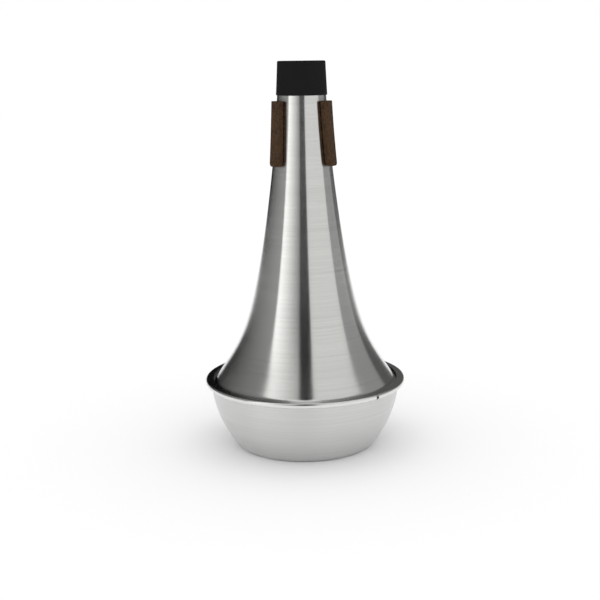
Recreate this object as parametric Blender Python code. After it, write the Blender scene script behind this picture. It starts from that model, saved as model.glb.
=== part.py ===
"""Straight mute for a bass trombone, standing on its base.

The mute is a spun aluminium horn joined to a spun aluminium bowl by a rolled rim, with a rubber
cap on the open tip and three cork strips glued to the neck. Lengths are in metres, +Z points up,
and the origin is the centre of the flat base. The front is the -Y side and +X is on the right.
"""
import math

import bmesh
import bpy
import numpy as np
from mathutils import Vector

# Stock and clearances
SHEET_WALL = 0.0010
JOINT_GAP = 0.0003
ROUND_SEGMENTS = 64

# Horn body: outside radius at heights above the base, from the tip down to where the flange turns out
HORN_STATIONS = (
    (0.3030, 0.0178),
    (0.2640, 0.0199),
    (0.2260, 0.0233),
    (0.1860, 0.0284),
    (0.1460, 0.0351),
    (0.1160, 0.0417),
    (0.0920, 0.0495),
    (0.0740, 0.0587),
    (0.0555, 0.0713),
)
HORN_STEPS = 15
HORN_STEP_SPREAD = 1.45
HORN_FLANGE_TOP = 0.0534
HORN_FILLET_STEPS = 3

# Bottom bowl: a flat base, a rounded corner, one bulging wall arc and a curl out to its flange
BOWL_ARC_CENTRE = (-0.0139, 0.0577)
BOWL_ARC_RADIUS = 0.0900
BOWL_ARC_STEPS = 7
BASE_CORNER_RADIUS = 0.0030
BASE_CORNER_STEPS = 3
BOWL_FLANGE_UNDERSIDE = 0.0511
BOWL_CURL_RADIUS = 0.0014
BOWL_CURL_STEPS = 3
FLANGE_RADIUS = 0.0788

# Rim band: a rolled channel that grips both flanges, open at one butt gap
BAND_RADIUS = 0.0804
BAND_WALL = 0.0008
BAND_BOTTOM = 0.0500
BAND_TOP = 0.0546
BAND_CORNER_RADIUS = 0.0019
BAND_CORNER_STEPS = 3
BAND_UPPER_LIP_RADIUS = 0.0742
BAND_LOWER_LIP_RADIUS = 0.0770
BAND_BUTT_GAP = 0.0026
BAND_BUTT_AZIMUTH = math.radians(-43.0)

# Tip cap: a stretched rubber sleeve whose end turns in over the horn's lip
CAP_TOP = 0.3050
CAP_BOTTOM = 0.2790
CAP_WALL = 0.0006
CAP_MOUTH_RADIUS = 0.0155
CAP_MOUTH_EDGE_RADIUS = 0.0006
CAP_SHOULDER_RADIUS = 0.0012
CAP_ROUND_STEPS = 2
CAP_SLEEVE_STEPS = 2

# Cork strips: rounded blocks that follow the neck, one behind and one on each side of the front
CORK_BOTTOM = 0.2252
CORK_TOP = 0.2748
CORK_WIDTH = 0.0114
CORK_THICKNESS = 0.0048
CORK_LOWER_CORNER = 0.0030
CORK_UPPER_CORNER = 0.0015
CORK_CORNER_STEPS = 3
CORK_STRAIGHT_STEPS = 6
CORK_COLUMNS = 4
CORK_EDGE_CHAMFER = 0.0004
CORK_CHAMFERED_ANGLE = math.radians(50.0)
# Each strip's compass angle from +X at its upper and lower end; the left one leans towards the front
CORK_ANGLES = {
    "cork_strip_left": (math.radians(-150.0), math.radians(-141.5)),
    "cork_strip_right": (math.radians(-30.0), math.radians(-30.0)),
    "cork_strip_back": (math.radians(90.0), math.radians(90.0)),
}

SHARP_ANGLE = math.radians(35.0)
MERGE_DISTANCE = 0.00001


def clear_scene():
    for obj in list(bpy.data.objects):
        bpy.data.objects.remove(obj, do_unlink=True)


def make_material(name, colour, roughness, metallic):
    material = bpy.data.materials.new(name)
    material.use_nodes = True
    shader = material.node_tree.nodes["Principled BSDF"]
    shader.inputs["Base Color"].default_value = (*colour, 1.0)
    shader.inputs["Roughness"].default_value = roughness
    shader.inputs["Metallic"].default_value = metallic
    return material


def smooth_outline(stations):
    """Return a function giving radius and slope at a height, on a natural cubic through the stations."""
    heights, radii = np.array(sorted(stations)).T
    spans = np.diff(heights)
    chords = np.diff(radii) / spans
    system = np.eye(len(heights))
    right_side = np.zeros(len(heights))
    for i in range(1, len(heights) - 1):
        system[i, i - 1:i + 2] = (spans[i - 1], 2 * (spans[i - 1] + spans[i]), spans[i])
        right_side[i] = 6 * (chords[i] - chords[i - 1])
    bends = np.linalg.solve(system, right_side)

    def radius_and_slope(height):
        i = int(np.clip(np.searchsorted(heights, height) - 1, 0, len(spans) - 1))
        span = spans[i]
        below = height - heights[i]
        above = heights[i + 1] - height
        radius = (bends[i] * above ** 3 + bends[i + 1] * below ** 3) / (6 * span)
        radius += (radii[i] / span - bends[i] * span / 6) * above
        radius += (radii[i + 1] / span - bends[i + 1] * span / 6) * below
        slope = (bends[i + 1] * below ** 2 - bends[i] * above ** 2) / (2 * span)
        slope += chords[i] - (bends[i + 1] - bends[i]) * span / 6
        return float(radius), float(slope)

    return radius_and_slope


horn_outline = smooth_outline(HORN_STATIONS)


def horn_radius(height):
    return horn_outline(height)[0]


def arc(centre, radius, start, end, steps):
    """Points (radius, height) on an arc between two angles, measured from outwards, anticlockwise."""
    points = []
    for i in range(steps + 1):
        angle = start + (end - start) * i / steps
        points.append((centre[0] + radius * math.cos(angle), centre[1] + radius * math.sin(angle)))
    return points


def inner_outline(points, wall):
    """Copy an outline that runs down the outside, moved inwards by a wall thickness."""
    line = [Vector(point) for point in points]
    directions = [(b - a).normalized() for a, b in zip(line, line[1:])]
    moved = []
    for i, point in enumerate(line):
        before = directions[max(i - 1, 0)]
        after = directions[min(i, len(directions) - 1)]
        middle = (before + after).normalized()
        inwards = Vector((middle.y, -middle.x))
        moved.append(tuple(point + inwards * wall / middle.dot(after)))
    return moved


def turned_piece(name, outline, closed, material, parent):
    """Spin an outline of (radius, height) points about Z into one closed solid."""
    shape = bmesh.new()
    vertices = [shape.verts.new((radius, 0.0, height)) for radius, height in outline]
    edges = [shape.edges.new(pair) for pair in zip(vertices, vertices[1:])]
    if closed:
        edges.append(shape.edges.new((vertices[-1], vertices[0])))
    bmesh.ops.spin(
        shape,
        geom=vertices + edges,
        cent=(0.0, 0.0, 0.0),
        axis=(0.0, 0.0, 1.0),
        angle=2 * math.pi,
        steps=ROUND_SEGMENTS,
        use_merge=True,
    )
    bmesh.ops.remove_doubles(shape, verts=shape.verts, dist=MERGE_DISTANCE)
    return finished_object(name, shape, material, parent)


def finished_object(name, shape, material, parent):
    """Turn an edited mesh into a smooth-shaded object with its faces pointing out."""
    bmesh.ops.recalc_face_normals(shape, faces=shape.faces)
    mesh = bpy.data.meshes.new(name)
    shape.to_mesh(mesh)
    shape.free()
    mesh.materials.append(material)
    mesh.shade_smooth()
    mesh.set_sharp_from_angle(angle=SHARP_ANGLE)
    obj = bpy.data.objects.new(name, mesh)
    obj.parent = parent
    bpy.context.collection.objects.link(obj)
    return obj


def make_horn_body(material, parent):
    """The long spun horn: a cubic outline that flares down to a fillet and a flat flange."""
    tip_height = HORN_STATIONS[0][0]
    foot_height = HORN_STATIONS[-1][0]
    outside = []
    for i in range(HORN_STEPS + 1):
        share = (1 - i / HORN_STEPS) ** HORN_STEP_SPREAD
        height = foot_height + (tip_height - foot_height) * share
        outside.append((horn_radius(height), height))

    foot_radius, foot_slope = horn_outline(foot_height)
    facing = math.atan2(-foot_slope, 1.0)
    fillet_radius = (foot_height - HORN_FLANGE_TOP) / (1 - math.sin(facing))
    fillet_centre = (
        foot_radius + fillet_radius * math.cos(facing),
        foot_height + fillet_radius * math.sin(facing),
    )
    fillet_start = math.pi + facing
    outside += arc(fillet_centre, fillet_radius, fillet_start, 1.5 * math.pi, HORN_FILLET_STEPS)[1:]
    outside.append((FLANGE_RADIUS, HORN_FLANGE_TOP))

    inside = inner_outline(outside, SHEET_WALL)
    return turned_piece("horn_body", outside + inside[::-1], True, material, parent)


def make_bottom_bowl(material, parent):
    """The spun bowl, drawn from its flange down the bulging wall to the centre of the flat base."""
    centre_radius, centre_height = BOWL_ARC_CENTRE
    curl_height = BOWL_FLANGE_UNDERSIDE - BOWL_CURL_RADIUS
    curl_reach = BOWL_ARC_RADIUS + BOWL_CURL_RADIUS
    curl_angle = math.asin((curl_height - centre_height) / curl_reach)
    curl_centre = (centre_radius + curl_reach * math.cos(curl_angle), curl_height)

    corner_reach = BOWL_ARC_RADIUS - BASE_CORNER_RADIUS
    corner_angle = math.asin((BASE_CORNER_RADIUS - centre_height) / corner_reach)
    corner_centre = (centre_radius + corner_reach * math.cos(corner_angle), BASE_CORNER_RADIUS)

    outside = [(FLANGE_RADIUS, BOWL_FLANGE_UNDERSIDE)]
    outside += arc(curl_centre, BOWL_CURL_RADIUS, math.pi / 2, math.pi + curl_angle, BOWL_CURL_STEPS)
    outside += arc(BOWL_ARC_CENTRE, BOWL_ARC_RADIUS, curl_angle, corner_angle, BOWL_ARC_STEPS)[1:]
    outside += arc(corner_centre, BASE_CORNER_RADIUS, corner_angle, -math.pi / 2, BASE_CORNER_STEPS)[1:]
    outside.append((0.0, 0.0))

    inside = inner_outline(outside, SHEET_WALL)
    return turned_piece("bottom_bowl", inside[::-1] + outside, False, material, parent)


def make_rim_band(material, parent):
    """The rolled channel over both flanges, cut through at its butt gap."""
    corner_radius = BAND_RADIUS - BAND_CORNER_RADIUS
    upper_centre = (corner_radius, BAND_TOP - BAND_CORNER_RADIUS)
    lower_centre = (corner_radius, BAND_BOTTOM + BAND_CORNER_RADIUS)
    outside = [(BAND_UPPER_LIP_RADIUS, BAND_TOP)]
    outside += arc(upper_centre, BAND_CORNER_RADIUS, math.pi / 2, 0.0, BAND_CORNER_STEPS)
    outside += arc(lower_centre, BAND_CORNER_RADIUS, 0.0, -math.pi / 2, BAND_CORNER_STEPS)
    outside.append((BAND_LOWER_LIP_RADIUS, BAND_BOTTOM))

    inside = inner_outline(outside, BAND_WALL)
    band = turned_piece("rim_band", outside + inside[::-1], True, material, parent)

    cutter_length = 2 * (BAND_RADIUS - BAND_UPPER_LIP_RADIUS)
    cutter_height = 2 * (BAND_TOP - BAND_BOTTOM)
    shape = bmesh.new()
    bmesh.ops.create_cube(shape, size=1.0)
    bmesh.ops.scale(shape, vec=(cutter_length, BAND_BUTT_GAP, cutter_height), verts=shape.verts)
    cutter = finished_object("rim_gap_cutter", shape, material, parent)
    middle_radius = (BAND_RADIUS + BAND_UPPER_LIP_RADIUS) / 2
    cutter.location = (
        middle_radius * math.cos(BAND_BUTT_AZIMUTH),
        middle_radius * math.sin(BAND_BUTT_AZIMUTH),
        (BAND_TOP + BAND_BOTTOM) / 2,
    )
    cutter.rotation_euler = (0.0, 0.0, BAND_BUTT_AZIMUTH)
    cutter.hide_render = True
    cutter.display_type = "WIRE"

    cut = band.modifiers.new("butt_gap", "BOOLEAN")
    cut.operation = "DIFFERENCE"
    cut.solver = "EXACT"
    cut.object = cutter
    return band


def make_tip_cap(material, parent):
    """The rubber sleeve on the tip, with a soft lip that leaves the mouth open."""
    sleeve = JOINT_GAP + CAP_WALL
    tip_height = HORN_STATIONS[0][0]
    underside = tip_height + JOINT_GAP
    mouth_centre = (CAP_MOUTH_RADIUS + CAP_MOUTH_EDGE_RADIUS, CAP_TOP - CAP_MOUTH_EDGE_RADIUS)
    shoulder_centre = (horn_radius(tip_height) + sleeve - CAP_SHOULDER_RADIUS, CAP_TOP - CAP_SHOULDER_RADIUS)

    outside = [(CAP_MOUTH_RADIUS, underside)]
    outside += arc(mouth_centre, CAP_MOUTH_EDGE_RADIUS, math.pi, math.pi / 2, CAP_ROUND_STEPS)
    outside += arc(shoulder_centre, CAP_SHOULDER_RADIUS, math.pi / 2, 0.0, CAP_ROUND_STEPS)
    inside = [(horn_radius(tip_height) + JOINT_GAP, underside)]
    for i in range(1, CAP_SLEEVE_STEPS + 1):
        height = tip_height + (CAP_BOTTOM - tip_height) * i / CAP_SLEEVE_STEPS
        outside.append((horn_radius(height) + sleeve, height))
        inside.append((horn_radius(height) + JOINT_GAP, height))
    return turned_piece("tip_cap", outside + inside[::-1], True, material, parent)


def cork_rows():
    """Heights and half widths of a strip's cross rows, from the lower end to the upper end."""
    half_width = CORK_WIDTH / 2
    rows = []
    for i in range(CORK_CORNER_STEPS + 1):
        angle = math.pi / 2 * i / CORK_CORNER_STEPS
        rise = CORK_LOWER_CORNER * (1 - math.cos(angle))
        rows.append((CORK_BOTTOM + rise, half_width - CORK_LOWER_CORNER * (1 - math.sin(angle))))
    straight_start = CORK_BOTTOM + CORK_LOWER_CORNER
    straight_length = CORK_TOP - CORK_UPPER_CORNER - straight_start
    for i in range(1, CORK_STRAIGHT_STEPS):
        rows.append((straight_start + straight_length * i / CORK_STRAIGHT_STEPS, half_width))
    for i in range(CORK_CORNER_STEPS + 1):
        angle = math.pi / 2 * (1 - i / CORK_CORNER_STEPS)
        drop = CORK_UPPER_CORNER * (1 - math.cos(angle))
        rows.append((CORK_TOP - drop, half_width - CORK_UPPER_CORNER * (1 - math.sin(angle))))
    return rows


def rim_of_grid(grid):
    """The border of a grid of vertices, once round."""
    right_side = [row[-1] for row in grid[1:-1]]
    left_side = [row[0] for row in grid[1:-1]]
    return grid[0] + right_side + grid[-1][::-1] + left_side[::-1]


def make_cork_strip(name, upper_angle, lower_angle, material, parent):
    """A cork block lofted row by row round the neck, with rounded corners and eased edges."""
    shape = bmesh.new()
    layers = []
    for depth in (JOINT_GAP, JOINT_GAP + CORK_THICKNESS):
        layer = []
        for height, half_width in cork_rows():
            radius = horn_radius(height) + depth
            share = (height - CORK_BOTTOM) / (CORK_TOP - CORK_BOTTOM)
            middle_angle = lower_angle + (upper_angle - lower_angle) * share
            row = []
            for column in range(CORK_COLUMNS + 1):
                across = half_width * (2 * column / CORK_COLUMNS - 1)
                angle = middle_angle + across / (horn_radius(height) + JOINT_GAP + CORK_THICKNESS / 2)
                row.append(shape.verts.new((radius * math.cos(angle), radius * math.sin(angle), height)))
            layer.append(row)
        layers.append(layer)

    for layer in layers:
        for lower, upper in zip(layer, layer[1:]):
            for column in range(CORK_COLUMNS):
                shape.faces.new((lower[column], lower[column + 1], upper[column + 1], upper[column]))
    glued, outer = layers
    glued_edge = rim_of_grid(glued)
    outer_edge = rim_of_grid(outer)
    for i in range(len(glued_edge)):
        shape.faces.new((glued_edge[i - 1], glued_edge[i], outer_edge[i], outer_edge[i - 1]))

    cork = finished_object(name, shape, material, parent)
    eased = cork.modifiers.new("eased_edges", "BEVEL")
    eased.width = CORK_EDGE_CHAMFER
    eased.segments = 1
    eased.limit_method = "ANGLE"
    eased.angle_limit = CORK_CHAMFERED_ANGLE
    return cork


def build_mute():
    clear_scene()
    mute = bpy.data.objects.new("mute", None)
    bpy.context.collection.objects.link(mute)

    brushed = make_material("brushed_aluminium", (0.72, 0.72, 0.71), 0.30, 1.0)
    rolled = make_material("rolled_aluminium", (0.78, 0.78, 0.77), 0.22, 1.0)
    rubber = make_material("black_rubber", (0.006, 0.006, 0.007), 0.55, 0.0)
    cork = make_material("brown_cork", (0.045, 0.024, 0.012), 0.85, 0.0)

    make_bottom_bowl(brushed, mute)
    make_horn_body(brushed, mute)
    make_rim_band(rolled, mute)
    make_tip_cap(rubber, mute)
    for name, (upper_angle, lower_angle) in CORK_ANGLES.items():
        make_cork_strip(name, upper_angle, lower_angle, cork, mute)


build_mute()
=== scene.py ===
import math
import bpy
import bmesh
import numpy as np
from mathutils import Euler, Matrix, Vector


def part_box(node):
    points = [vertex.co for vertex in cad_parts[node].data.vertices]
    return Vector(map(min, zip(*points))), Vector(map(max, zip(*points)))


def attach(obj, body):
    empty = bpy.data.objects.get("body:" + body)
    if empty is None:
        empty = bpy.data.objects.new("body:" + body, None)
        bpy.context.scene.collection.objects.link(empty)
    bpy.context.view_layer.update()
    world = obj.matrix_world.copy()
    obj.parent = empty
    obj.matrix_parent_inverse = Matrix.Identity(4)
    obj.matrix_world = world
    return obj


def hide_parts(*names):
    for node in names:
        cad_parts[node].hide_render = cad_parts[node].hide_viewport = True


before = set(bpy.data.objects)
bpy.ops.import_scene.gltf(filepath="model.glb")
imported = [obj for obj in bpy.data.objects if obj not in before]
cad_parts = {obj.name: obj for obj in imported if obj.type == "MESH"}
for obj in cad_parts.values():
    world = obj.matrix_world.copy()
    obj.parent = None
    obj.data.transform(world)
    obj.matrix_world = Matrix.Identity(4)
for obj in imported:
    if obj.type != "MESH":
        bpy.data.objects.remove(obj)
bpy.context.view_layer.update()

scene = bpy.context.scene
scene.view_settings.view_transform = "Standard"


# Camera and studio. The camera stands 0.9 m in front of the mute with its eye level with the tip
# and looks down 12 degrees. Two tall curved softboxes leave a dark gap between them in front, and
# dimmer cards close the ring, so that the turned metal shows upright bands. The table is white.
EYE = (-0.0033, -0.9034, 0.3066)
LOOK_DOWN = 0.207
CAMERA_ROLL = -0.013
SENSOR_WIDTH = 36.0
LENS = 69.0
NEAREST_SEEN = 0.01
camera_data = bpy.data.cameras.new("photo_camera")
camera_data.sensor_width = SENSOR_WIDTH
camera_data.lens = LENS
camera_data.clip_start = NEAREST_SEEN
camera = bpy.data.objects.new("photo_camera", camera_data)
scene.collection.objects.link(camera)
aim = Euler((math.pi / 2 - LOOK_DOWN, 0.0, 0.0)).to_quaternion()
camera.rotation_mode = "QUATERNION"
camera.rotation_quaternion = aim @ Euler((0.0, 0.0, CAMERA_ROLL)).to_quaternion()
camera.location = EYE
scene.camera = camera


class Wire:
    """A node socket that can be used in sums: each operator adds its Math node."""

    def __init__(self, tree, socket):
        self.tree = tree
        self.socket = socket

    def maths(self, operation, *others, clamp=False):
        settings = {"operation": operation, "use_clamp": clamp}
        return node(self.tree, "ShaderNodeMath", settings, self, *others)

    def __add__(self, other):
        return self.maths("ADD", other)

    __radd__ = __add__

    def __sub__(self, other):
        return self.maths("SUBTRACT", other)

    def __rsub__(self, other):
        return node(self.tree, "ShaderNodeMath", {"operation": "SUBTRACT"}, other, self)

    def __mul__(self, other):
        return self.maths("MULTIPLY", other)

    __rmul__ = __mul__

    def __truediv__(self, other):
        return self.maths("DIVIDE", other)


def node(tree, kind, settings, *values, output=0, **named):
    """Add one node: its settings first, then the values or links of its sockets."""
    made = tree.nodes.new(kind)
    for name, value in settings.items():
        setattr(made, name, value)
    sockets = list(zip(made.inputs, values))
    sockets += [(made.inputs[name.replace("_", " ")], value) for name, value in named.items()]
    for socket, value in sockets:
        if isinstance(value, Wire):
            tree.links.new(value.socket, socket)
        elif value is not None:
            socket.default_value = value
    return Wire(tree, made.outputs[output])


def new_material(name):
    """An empty material: its tree, and its output's surface socket."""
    material = bpy.data.materials.new(name)
    material.use_nodes = True
    tree = material.node_tree
    tree.nodes.clear()
    surface = tree.nodes.new("ShaderNodeOutputMaterial").inputs["Surface"]
    return material, tree, surface


OBJECT_OUTPUT = 3


def object_point(tree):
    """The point's own coordinates on its piece."""
    return node(tree, "ShaderNodeTexCoord", {}, output=OBJECT_OUTPUT)


def split_point(tree, point):
    """The x, y and z of a point."""
    split = tree.nodes.new("ShaderNodeSeparateXYZ")
    tree.links.new(point.socket, split.inputs[0])
    return [Wire(tree, socket) for socket in split.outputs]


START_SIZE = 0.001
MERGE_DISTANCE = 0.000005


def draw_line(name, points):
    """Start a piece as one vertex and extrude it along an outline; edit mode is left on."""
    bpy.ops.object.select_all(action="DESELECT")
    bpy.ops.mesh.primitive_plane_add(size=START_SIZE, location=points[0])
    piece = bpy.context.object
    piece.name = name
    bpy.ops.object.transform_apply(location=True, rotation=True, scale=True)
    bpy.ops.object.mode_set(mode="EDIT")
    bpy.ops.mesh.select_all(action="SELECT")
    bpy.ops.mesh.merge(type="CENTER")
    for before, after in zip(points, points[1:]):
        step = Vector(after) - Vector(before)
        bpy.ops.mesh.extrude_region_move(TRANSFORM_OT_translate={"value": step})
    return piece


def turn_line(angle, segments):
    """Spin the drawn line round the upright axis, close its seam and face it outwards.

    A positive angle turns clockwise as seen from above.
    """
    bpy.ops.mesh.select_all(action="SELECT")
    bpy.ops.mesh.spin(steps=segments, angle=angle, center=(0.0, 0.0, 0.0), axis=(0.0, 0.0, 1.0))
    bpy.ops.mesh.select_all(action="SELECT")
    bpy.ops.mesh.remove_doubles(threshold=MERGE_DISTANCE)
    bpy.ops.mesh.normals_make_consistent(inside=False)
    bpy.ops.object.mode_set(mode="OBJECT")


CARD_DISTANCE = 1.7
CARD_LOWEST = -4.0
CARD_HIGHEST = 80.0
CARD_RINGS = 12
CARD_STEPS = 16
FRONT = -90.0
CARD_LIGHT = (1.0, 0.995, 0.98, 1.0)


def studio_card(name, left, right, level, change):
    """A tall curved card between two angles from the front, in degrees to the right.

    It glows at level in its middle and by change more towards its right, never below zero.
    """
    start = math.radians(left + FRONT)
    outline = []
    for i in range(CARD_RINGS + 1):
        rise = math.radians(CARD_LOWEST + (CARD_HIGHEST - CARD_LOWEST) * i / CARD_RINGS)
        reach = CARD_DISTANCE * math.cos(rise)
        outline.append((reach * math.cos(start), reach * math.sin(start), CARD_DISTANCE * math.sin(rise)))
    card = draw_line(name, outline)
    turn_line(math.radians(left - right), CARD_STEPS)
    card.visible_camera = False
    card.visible_shadow = False
    card.visible_diffuse = False
    material, tree, surface = new_material(name)
    x, y, _ = split_point(tree, object_point(tree))
    middle = math.radians((left + right) / 2 + FRONT)
    across = y * math.cos(middle) - x * math.sin(middle)
    strength = (across * (change / CARD_DISTANCE) + level).maths("MAXIMUM", 0.0)
    glow = node(tree, "ShaderNodeEmission", {}, CARD_LIGHT, strength)
    tree.links.new(glow.socket, surface)
    card.data.materials.append(material)


studio_card("softbox_left", left=-63.0, right=-10.5, level=0.87, change=-1.5)
studio_card("softbox_right", left=12.5, right=84.0, level=0.78, change=0.0)
studio_card("front_gap_card", left=-10.5, right=12.5, level=0.012, change=0.0)
studio_card("left_card", left=-180.0, right=-63.0, level=0.12, change=0.25)
studio_card("right_card", left=84.0, right=124.0, level=0.32, change=0.0)
studio_card("right_back_card", left=124.0, right=180.0, level=0.10, change=0.0)

FILL_LEVEL = 1.14
WHITE = (1.0, 1.0, 1.0, 1.0)
world = bpy.data.worlds.new("studio_world")
scene.world = world
world.use_nodes = True
tree = world.node_tree
tree.nodes.clear()
world_surface = tree.nodes.new("ShaderNodeOutputWorld").inputs["Surface"]
path = tree.nodes.new("ShaderNodeLightPath")
camera_ray, glossy_ray, clear_ray = (
    Wire(tree, path.outputs[name]) for name in ("Is Camera Ray", "Is Glossy Ray", "Is Transmission Ray")
)
shown = camera_ray.maths("MAXIMUM", glossy_ray).maths("MAXIMUM", clear_ray)
fill = node(tree, "ShaderNodeBackground", {}, WHITE, shown * (1 - FILL_LEVEL) + FILL_LEVEL)
tree.links.new(fill.socket, world_surface)

FLOOR_RADIUS = 6.0
FLOOR_SIDES = 96
FLOOR_HEIGHT = -0.0004
TABLE_WHITE = (0.90, 0.90, 0.90, 1.0)
bpy.ops.object.select_all(action="DESELECT")
bpy.ops.mesh.primitive_circle_add(
    vertices=FLOOR_SIDES, radius=FLOOR_RADIUS, fill_type="NGON", location=(0.0, 0.0, FLOOR_HEIGHT),
)
floor = bpy.context.object
floor.name = "studio_floor"
bpy.ops.object.transform_apply(location=True, rotation=True, scale=True)
floor_material, tree, surface = new_material("white_table")
paper = node(tree, "ShaderNodeBsdfDiffuse", {}, TABLE_WHITE, 0.0)
tree.links.new(paper.socket, surface)
floor.data.materials.append(floor_material)


# Bottom bowl: one spun aluminium shell with a flat base, a bulging wall and a curl out to a flange
# that lies in the rim. Fine turning marks run round it. Its metal colour is darker than the horn's:
# painted shade.
SHEET = 0.0010
FLANGE_RADIUS = 0.0788
TURNED_SEGMENTS = 192
STEEPEST_SIDE = 0.9
SMOOTH_ANGLE = math.radians(35.0)


def arc(centre, radius, start, end, steps):
    """Points (radius, height) on an arc between two angles."""
    turns = [start + (end - start) * i / steps for i in range(steps + 1)]
    return [(centre[0] + radius * math.cos(t), centre[1] + radius * math.sin(t)) for t in turns]


def turned_shell(name, outline, wall, segments=TURNED_SEGMENTS):
    """Turn an open outline into a shell and give its wall thickness inwards."""
    piece = draw_line(name, [(radius, 0.0, height) for radius, height in outline])
    turn_line(2 * math.pi, segments)
    sides = [f for f in piece.data.polygons if abs(f.normal.z) < STEEPEST_SIDE]
    outward = sum(f.normal.x * f.center.x + f.normal.y * f.center.y for f in sides)
    if outward < 0:
        piece.data.flip_normals()
    solid = piece.modifiers.new("wall", "SOLIDIFY")
    solid.thickness = wall
    solid.offset = -1.0
    solid.use_even_offset = True
    bpy.ops.object.modifier_apply(modifier="wall")
    bpy.ops.object.shade_smooth_by_angle(angle=SMOOTH_ANGLE)
    return piece


AXIS_GUARD = 1e-9
LINE_PITCH = 900.0
LINE_WANDER = 0.35
LINE_CONTRAST = 0.30
LINE_GLOSS = 0.10
LINE_DEPTH = 0.00006
RING_PITCH = 95.0
RING_WANDER = 0.25
RING_CONTRAST = 0.10
CLOUD_CONTRAST = 0.05
CLOUD_GLOSS = 0.06
BRUSHED_ALONG = 0.25


def turned_aluminium(name, lean, colour, roughness, stretch, lines=1.0):
    """Brushed aluminium: fine lines round the axis, faint wide rings and a little uneven gloss.

    The lines are counted along height plus lean times radius, so that they follow the wall.
    """
    material, tree, surface = new_material(name)
    point = object_point(tree)
    x, y, z = split_point(tree, point)
    radius = (x * x + y * y + AXIS_GUARD).maths("SQRT")
    along = z + radius * lean
    line_point = node(
        tree, "ShaderNodeCombineXYZ", {},
        x / radius * LINE_WANDER, y / radius * LINE_WANDER, along * LINE_PITCH,
    )
    ring_point = node(
        tree, "ShaderNodeCombineXYZ", {},
        x / radius * RING_WANDER, y / radius * RING_WANDER, along * RING_PITCH,
    )
    fine = node(tree, "ShaderNodeTexNoise", {}, Vector=line_point, Scale=1.6, Detail=4.0, Roughness=0.7)
    wide = node(tree, "ShaderNodeTexNoise", {}, Vector=ring_point, Scale=1.0, Detail=2.0, Roughness=0.5)
    cloud = node(tree, "ShaderNodeTexNoise", {}, Vector=point, Scale=22.0, Detail=3.0, Roughness=0.5)
    value = 1 + (fine - 0.5) * (LINE_CONTRAST * lines)
    value = value + (wide - 0.5) * RING_CONTRAST + (cloud - 0.5) * CLOUD_CONTRAST
    tint = node(tree, "ShaderNodeVectorMath", {"operation": "SCALE"}, colour, Scale=value)
    gloss = roughness + (fine - 0.5) * LINE_GLOSS + (cloud - 0.5) * CLOUD_GLOSS
    bump = node(tree, "ShaderNodeBump", {}, Strength=0.10, Distance=LINE_DEPTH, Height=fine)
    round_axis = node(tree, "ShaderNodeTangent", {"direction_type": "RADIAL", "axis": "Z"})
    metal = node(
        tree, "ShaderNodeBsdfPrincipled", {},
        Base_Color=tint, Metallic=1.0, Roughness=gloss, Normal=bump,
        Anisotropic=stretch, Anisotropic_Rotation=BRUSHED_ALONG, Tangent=round_axis,
    )
    tree.links.new(metal.socket, surface)
    return material


BOWL_ARC_CENTRE = (-0.0139, 0.0577)
BOWL_ARC_RADIUS = 0.0900
BASE_CORNER = 0.0030
BOWL_CURL = 0.0014
BASE_RINGS = (0.040, 0.024, 0.010, 0.0)
# Painted shade: the bowl's aluminium colour is set darker than the horn's, the same metal.
BOWL_COLOUR_WITH_PAINTED_SHADE = (0.66, 0.66, 0.655)
flange_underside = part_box("bottom_bowl")[1].z - SHEET
curl_height = flange_underside - BOWL_CURL
curl_reach = BOWL_ARC_RADIUS + BOWL_CURL
curl_angle = math.asin((curl_height - BOWL_ARC_CENTRE[1]) / curl_reach)
curl_centre = (BOWL_ARC_CENTRE[0] + curl_reach * math.cos(curl_angle), curl_height)
corner_reach = BOWL_ARC_RADIUS - BASE_CORNER
corner_angle = math.asin((BASE_CORNER - BOWL_ARC_CENTRE[1]) / corner_reach)
corner_centre = (BOWL_ARC_CENTRE[0] + corner_reach * math.cos(corner_angle), BASE_CORNER)
bowl_outline = [(FLANGE_RADIUS, flange_underside)]
bowl_outline += arc(curl_centre, BOWL_CURL, math.pi / 2, math.pi + curl_angle, 8)
bowl_outline += arc(BOWL_ARC_CENTRE, BOWL_ARC_RADIUS, curl_angle, corner_angle, 36)[1:]
bowl_outline += arc(corner_centre, BASE_CORNER, corner_angle, -math.pi / 2, 8)[1:]
bowl_outline += [(radius, 0.0) for radius in BASE_RINGS]
bowl = turned_shell("bowl_shell", bowl_outline, SHEET)
bowl_metal = turned_aluminium("turned_bowl_aluminium", 1.0, BOWL_COLOUR_WITH_PAINTED_SHADE, roughness=0.34, stretch=0.80)
bowl.data.materials.append(bowl_metal)
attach(bowl, "root")
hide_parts("bottom_bowl")


# Horn: one long spun aluminium shell, nearly straight at the neck and flaring to a small fillet
# and a flat flange. It is brushed on the lathe, so its fine lines run round it.
HORN_STATIONS = (
    (0.3030, 0.0178), (0.2640, 0.0199), (0.2260, 0.0233), (0.1860, 0.0284), (0.1460, 0.0351),
    (0.1160, 0.0417), (0.0920, 0.0495), (0.0740, 0.0587), (0.0555, 0.0713),
)
HORN_RINGS = 84
RINGS_TO_FOOT = 1.2
HORN_COLOUR = (0.72, 0.72, 0.712)


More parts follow.
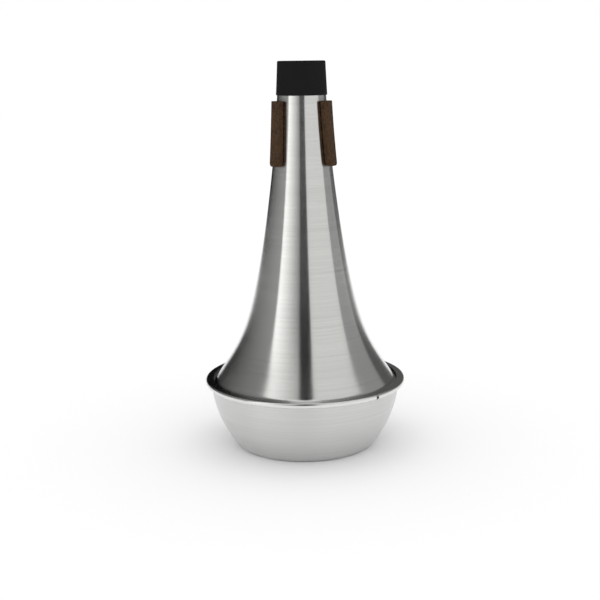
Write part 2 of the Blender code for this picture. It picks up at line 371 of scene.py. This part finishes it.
def smooth_outline(stations):
    """A natural cubic through the stations: a function that gives radius and slope at a height."""
    heights, radii = np.array(sorted(stations)).T
    spans = np.diff(heights)
    chords = np.diff(radii) / spans
    system = np.eye(len(heights))
    side = np.zeros(len(heights))
    for i in range(1, len(heights) - 1):
        system[i, i - 1:i + 2] = (spans[i - 1], 2 * (spans[i - 1] + spans[i]), spans[i])
        side[i] = 6 * (chords[i] - chords[i - 1])
    bends = np.linalg.solve(system, side)

    def radius_and_slope(height):
        i = int(np.clip(np.searchsorted(heights, height) - 1, 0, len(spans) - 1))
        below, above, span = height - heights[i], heights[i + 1] - height, spans[i]
        radius = (bends[i] * above ** 3 + bends[i + 1] * below ** 3) / (6 * span)
        radius += (radii[i] / span - bends[i] * span / 6) * above
        radius += (radii[i + 1] / span - bends[i + 1] * span / 6) * below
        slope = (bends[i + 1] * below ** 2 - bends[i] * above ** 2) / (2 * span)
        slope += chords[i] - (bends[i + 1] - bends[i]) * span / 6
        return float(radius), float(slope)

    return radius_and_slope


horn_line = smooth_outline(HORN_STATIONS)
horn_tip = HORN_STATIONS[0][0]
horn_foot = HORN_STATIONS[-1][0]
flange_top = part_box("horn_body")[0].z + SHEET
horn_outline = []
for i in range(HORN_RINGS + 1):
    height = horn_foot + (horn_tip - horn_foot) * (1 - i / HORN_RINGS) ** RINGS_TO_FOOT
    horn_outline.append((horn_line(height)[0], height))
foot_radius, foot_slope = horn_line(horn_foot)
facing = math.atan2(-foot_slope, 1.0)
fillet = (horn_foot - flange_top) / (1 - math.sin(facing))
fillet_centre = (foot_radius + fillet * math.cos(facing), horn_foot + fillet * math.sin(facing))
horn_outline += arc(fillet_centre, fillet, math.pi + facing, 1.5 * math.pi, 10)[1:]
horn_outline.append((FLANGE_RADIUS, flange_top))
horn = turned_shell("horn_shell", horn_outline, SHEET)
horn_metal = turned_aluminium("brushed_horn_aluminium", -1.0, HORN_COLOUR, roughness=0.20, stretch=0.86)
horn.data.materials.append(horn_metal)
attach(horn, "root")
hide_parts("horn_body")


# Rim band: a strip rolled into a channel and closed over both flanges. Its ends meet at a thin
# seam on the right, where two small round notches show dark.
BAND_RADIUS = 0.0804
BAND_WALL = 0.0008
BAND_CORNER = 0.0019
BAND_SEGMENTS = 256
UPPER_LIP = 0.0742
LOWER_LIP = 0.0770
BAND_COLOUR = (0.76, 0.76, 0.75)
SEAM_ANGLE = math.radians(-46.5)
SEAM_WIDTH = 0.0005
SEAM_RADIUS = 0.0775
SEAM_HEIGHT = 0.0523
SEAM_CUT = 0.012
NOTCH_SIDES = 32
OUTER_NOTCH_RADIUS = 0.00145
OUTER_NOTCH_DEPTH = 0.004
OUTER_NOTCH_HEIGHT = 0.0519
UPPER_NOTCH_RADIUS = 0.0014
UPPER_NOTCH_DEPTH = 0.002
band_low, band_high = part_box("rim_band")
corner_middle = BAND_RADIUS - BAND_CORNER
band_outline = [(UPPER_LIP, band_high.z)]
band_outline += arc((corner_middle, band_high.z - BAND_CORNER), BAND_CORNER, math.pi / 2, 0.0, 10)
band_outline += arc((corner_middle, band_low.z + BAND_CORNER), BAND_CORNER, 0.0, -math.pi / 2, 10)
band_outline.append((LOWER_LIP, band_low.z))
band = turned_shell("rolled_rim", band_outline, BAND_WALL, BAND_SEGMENTS)


def cut_away(piece, cutter):
    """Take the cutter's shape out of a piece and delete the cutter."""
    cut = piece.modifiers.new("cut", "BOOLEAN")
    cut.operation = "DIFFERENCE"
    cut.solver = "EXACT"
    cut.object = cutter
    bpy.ops.object.select_all(action="DESELECT")
    piece.select_set(True)
    bpy.context.view_layer.objects.active = piece
    bpy.ops.object.modifier_apply(modifier="cut")
    bpy.data.objects.remove(cutter)


def at_seam(radius, height):
    """The point on the seam at a radius and a height."""
    return (radius * math.cos(SEAM_ANGLE), radius * math.sin(SEAM_ANGLE), height)


bpy.ops.object.select_all(action="DESELECT")
bpy.ops.mesh.primitive_cube_add(
    size=1.0, location=at_seam(SEAM_RADIUS, SEAM_HEIGHT), rotation=(0.0, 0.0, SEAM_ANGLE),
)
bpy.context.object.scale = (SEAM_CUT, SEAM_WIDTH, SEAM_CUT)
cut_away(band, bpy.context.object)
bpy.ops.mesh.primitive_cylinder_add(
    vertices=NOTCH_SIDES, radius=OUTER_NOTCH_RADIUS, depth=OUTER_NOTCH_DEPTH,
    location=at_seam(BAND_RADIUS, OUTER_NOTCH_HEIGHT), rotation=(0.0, math.pi / 2, SEAM_ANGLE),
)
cut_away(band, bpy.context.object)
bpy.ops.mesh.primitive_cylinder_add(
    vertices=NOTCH_SIDES, radius=UPPER_NOTCH_RADIUS, depth=UPPER_NOTCH_DEPTH,
    location=at_seam(UPPER_LIP, band_high.z),
)
cut_away(band, bpy.context.object)
bpy.ops.object.shade_smooth_by_angle(angle=SMOOTH_ANGLE)
band.data.materials.clear()
band_metal = turned_aluminium(
    "rolled_rim_aluminium", 0.0, BAND_COLOUR, roughness=0.27, stretch=0.60, lines=0.4,
)
band.data.materials.append(band_metal)
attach(band, "root")
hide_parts("rim_band")


# Tip cap: a black rubber sleeve stretched over the open tip. It turns in over the horn's lip and
# leaves the mouth open; its surface is matt and very slightly pebbled.
CAP_WALL = 0.0006
JOINT_GAP = 0.0003
MOUTH_RADIUS = 0.0155
MOUTH_EDGE = 0.0007
CAP_SHOULDER = 0.0012
HEM_HEIGHT = 0.0003
HEM_STEP = 0.0002
SLEEVE_RINGS = 12
RUBBER_COLOUR = (0.0040, 0.0041, 0.0050)
PEBBLE_DEPTH = 0.00008
cap_low, cap_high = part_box("tip_cap")
tip_radius = horn_line(horn_tip)[0]
hem_radius = horn_line(cap_low.z)[0]
lip_under = horn_tip + JOINT_GAP
sleeve = JOINT_GAP + CAP_WALL
mouth_edge = (MOUTH_RADIUS + MOUTH_EDGE, cap_high.z - MOUTH_EDGE)
shoulder = (tip_radius + sleeve - CAP_SHOULDER, cap_high.z - CAP_SHOULDER)
sleeve_reach = cap_low.z + HEM_HEIGHT - horn_tip
sleeve_heights = [horn_tip + sleeve_reach * i / SLEEVE_RINGS for i in range(1, SLEEVE_RINGS + 1)]
cap_outline = [(MOUTH_RADIUS, lip_under)]
cap_outline += arc(mouth_edge, MOUTH_EDGE, math.pi, math.pi / 2, 6)
cap_outline += arc(shoulder, CAP_SHOULDER, math.pi / 2, 0.0, 8)
cap_outline += [(horn_line(height)[0] + sleeve, height) for height in sleeve_heights]
cap_outline.append((hem_radius + sleeve - HEM_STEP, cap_low.z))
cap_outline.append((hem_radius + JOINT_GAP, cap_low.z))
cap_outline += [(horn_line(height)[0] + JOINT_GAP, height) for height in sleeve_heights[::-1]]
cap_outline.append((tip_radius + JOINT_GAP, lip_under))
cap_outline.append(cap_outline[0])
cap = draw_line("rubber_tip_cap", [(radius, 0.0, height) for radius, height in cap_outline])
turn_line(2 * math.pi, TURNED_SEGMENTS)
bpy.ops.object.shade_smooth_by_angle(angle=SMOOTH_ANGLE)
rubber, tree, surface = new_material("matt_black_rubber")
point = object_point(tree)
pebbles = node(tree, "ShaderNodeTexNoise", {}, Vector=point, Scale=1500.0, Detail=2.0, Roughness=0.6)
wear = node(tree, "ShaderNodeTexNoise", {}, Vector=point, Scale=70.0, Detail=4.0, Roughness=0.6)
black = node(
    tree, "ShaderNodeVectorMath", {"operation": "SCALE"}, RUBBER_COLOUR, Scale=0.6 + wear * 0.8,
)
grain = node(tree, "ShaderNodeBump", {}, Strength=0.25, Distance=PEBBLE_DEPTH, Height=pebbles)
matt_rubber = node(
    tree, "ShaderNodeBsdfPrincipled", {},
    Base_Color=black, Roughness=0.62 + wear * 0.16, Normal=grain, Specular_IOR_Level=0.18,
)
tree.links.new(matt_rubber.socket, surface)
cap.data.materials.append(rubber)
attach(cap, "root")
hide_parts("tip_cap")


# Cork strips: three blocks of dark composition cork, cut from sheet and glued round the neck,
# whose curve they follow. Each has rounded corners, softened edges, granules and open pores.
CORK_LENGTH = 0.0496
CORK_BOTTOM = 0.2252
CORK_WIDTH = 0.0114
CORK_THICK = 0.0048
CORK_ANGLES = {"left": (-150.0, -141.5), "right": (-30.0, -30.0), "back": (90.0, 90.0)}
LOWER_CORNER = 0.0028
UPPER_CORNER = 0.0015
SOFT_EDGE = 0.0005
SOFT_EDGE_ANGLE = math.radians(50.0)
LEVEL_EDGE = 1e-6
UP, ACROSS = (0.0, 0.0, 1.0), (1.0, 0.0, 0.0)
CORK_CUTS = ((UP, 24, CORK_LENGTH), (ACROSS, 8, CORK_WIDTH))
DARK_GRANULE = (0.020, 0.010, 0.005, 1.0)
PALE_GRANULE = (0.085, 0.047, 0.022, 1.0)
PORE_DEPTH = 0.00025
CELL_COLOUR_OUTPUT = 1
MIXED_COLOUR_OUTPUT = 2
BEFORE_THE_COLOURS = (None, None, None, None, None)

cork, tree, surface = new_material("dark_granule_cork")
point = object_point(tree)
granules = node(
    tree, "ShaderNodeTexVoronoi", {"feature": "F1"},
    output=CELL_COLOUR_OUTPUT, Vector=point, Scale=900.0, Randomness=1.0,
)
shade = node(tree, "ShaderNodeSeparateColor", {}, granules)
pores = node(tree, "ShaderNodeTexNoise", {}, Vector=point, Scale=650.0, Detail=3.0, Roughness=0.65)
soot = node(tree, "ShaderNodeTexNoise", {}, Vector=point, Scale=120.0, Detail=4.0, Roughness=0.6)
paleness = (shade * 0.55 + pores * 0.3 + soot * 0.5 - 0.2).maths("MULTIPLY", 1.0, clamp=True)
brown = node(
    tree, "ShaderNodeMix", {"data_type": "RGBA"},
    paleness, *BEFORE_THE_COLOURS, DARK_GRANULE, PALE_GRANULE, output=MIXED_COLOUR_OUTPUT,
)
pits = node(tree, "ShaderNodeBump", {}, Strength=0.55, Distance=PORE_DEPTH, Height=pores + shade * 0.4)
matt_cork = node(
    tree, "ShaderNodeBsdfPrincipled", {},
    Base_Color=brown, Roughness=0.86 + pores * 0.1, Normal=pits, Specular_IOR_Level=0.15,
)
tree.links.new(matt_cork.socket, surface)

for side, (upper_angle, lower_angle) in CORK_ANGLES.items():
    bpy.ops.object.select_all(action="DESELECT")
    bpy.ops.mesh.primitive_cube_add(size=1.0, location=(0.0, 0.0, 0.0))
    strip = bpy.context.object
    strip.name = f"cork_strip_{side}_dressed"
    strip.scale = (CORK_WIDTH, CORK_THICK, CORK_LENGTH)
    bpy.ops.object.transform_apply(location=True, rotation=True, scale=True)
    for is_upper, corner in ((False, LOWER_CORNER), (True, UPPER_CORNER)):
        bpy.ops.object.mode_set(mode="EDIT")
        shape = bmesh.from_edit_mesh(strip.data)
        for edge in shape.edges:
            one, other = (end.co for end in edge.verts)
            through = abs(one.y - other.y) > CORK_THICK / 2 and abs(one.z - other.z) < LEVEL_EDGE
            edge.select_set(through and (one.z > 0) == is_upper)
        bmesh.update_edit_mesh(strip.data)
        bpy.ops.mesh.bevel(offset=corner, segments=5, affect="EDGES")
        bpy.ops.object.mode_set(mode="OBJECT")
    ease = strip.modifiers.new("ease", "BEVEL")
    ease.width = SOFT_EDGE
    ease.segments = 3
    ease.limit_method = "ANGLE"
    ease.angle_limit = SOFT_EDGE_ANGLE
    bpy.ops.object.modifier_apply(modifier="ease")
    for normal, cuts, length in CORK_CUTS:
        for i in range(1, cuts):
            bpy.ops.object.mode_set(mode="EDIT")
            bpy.ops.mesh.select_all(action="SELECT")
            middle = tuple(length * (i / cuts - 0.5) * part for part in normal)
            bpy.ops.mesh.bisect(plane_co=middle, plane_no=normal)
            bpy.ops.object.mode_set(mode="OBJECT")
    for vertex in strip.data.vertices:
        across, depth, rise = vertex.co
        height = CORK_BOTTOM + CORK_LENGTH / 2 + rise
        share = rise / CORK_LENGTH + 0.5
        neck = horn_line(height)[0] + JOINT_GAP
        reach = neck + CORK_THICK / 2 + depth
        turn = math.radians(lower_angle + (upper_angle - lower_angle) * share)
        turn -= across / (neck + CORK_THICK / 2)
        vertex.co = (reach * math.cos(turn), reach * math.sin(turn), height)
    bpy.ops.object.mode_set(mode="EDIT")
    bpy.ops.mesh.select_all(action="SELECT")
    bpy.ops.mesh.normals_make_consistent(inside=False)
    bpy.ops.object.mode_set(mode="OBJECT")
    bpy.ops.object.shade_smooth_by_angle(angle=SMOOTH_ANGLE)
    strip.data.materials.append(cork)
    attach(strip, "root")
    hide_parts(f"cork_strip_{side}")
